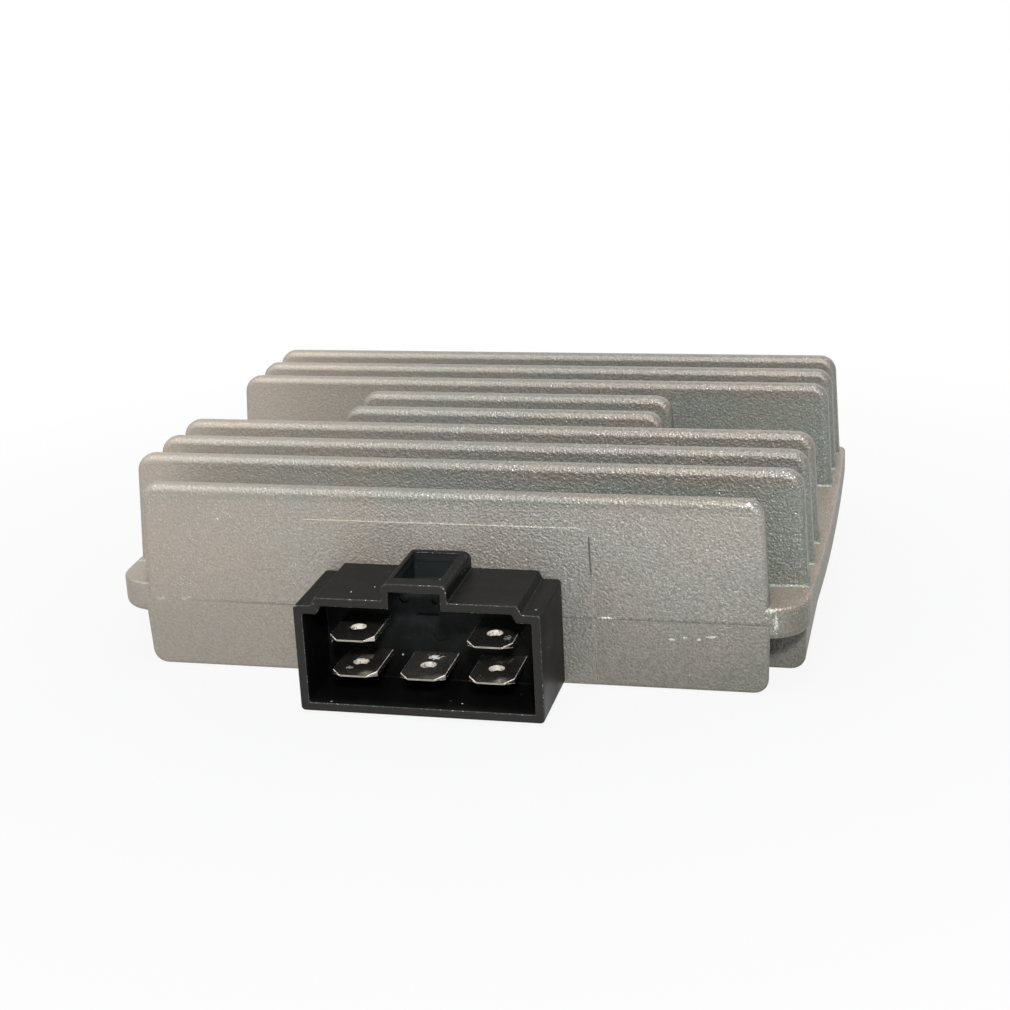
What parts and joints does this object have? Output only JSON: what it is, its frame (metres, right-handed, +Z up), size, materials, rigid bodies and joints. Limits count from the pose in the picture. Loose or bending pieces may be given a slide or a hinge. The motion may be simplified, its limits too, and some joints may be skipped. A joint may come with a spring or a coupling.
{
  "type": "motorcycle voltage regulator",
  "caption": "Finned die-cast regulator and rectifier housing with a shrouded blade connector in its front wall, two through bolt holes and a potted underside.",
  "frame": {"origin": "middle of the footprint, on the underside that is bolted to the vehicle", "axes": "+X along the fins to the right as the connector is faced, +Y away from the connector, +Z up out of the fins"},
  "size_m": [0.1018, 0.09, 0.0285],
  "materials": {
    "die_cast_aluminium": "as cast, shot blasted",
    "connector_plastic": "moulded, fine satin",
    "tinned_brass": "tin plated",
    "metal_core_board": "white solder resist",
    "silicone_sheet": "matt",
    "package_epoxy": "transfer moulded",
    "resistor_ceramic": "glazed",
    "capacitor_resin": "moulded",
    "potting_epoxy": "poured"
  },
  "bodies": {
    "root": {"heat_sink_casting": "die_cast_aluminium", "connector_shell": "connector_plastic", "stator_terminal_a": "tinned_brass", "stator_terminal_b": "tinned_brass", "stator_terminal_c": "tinned_brass", "battery_terminal": "tinned_brass", "ground_terminal": "tinned_brass", "circuit_board": "metal_core_board", "thermal_sheet": "silicone_sheet", "thyristor_a": "package_epoxy", "thyristor_b": "package_epoxy", "thyristor_c": "package_epoxy", "rectifier_diode_a": "package_epoxy", "rectifier_diode_b": "package_epoxy", "rectifier_diode_c": "package_epoxy", "control_chip": "package_epoxy", "reference_zener": "package_epoxy", "gate_resistor_a": "resistor_ceramic", "gate_resistor_b": "resistor_ceramic", "gate_resistor_c": "resistor_ceramic", "filter_capacitor": "capacitor_resin", "potting_resin": "potting_epoxy"}
  },
  "joints": []
}
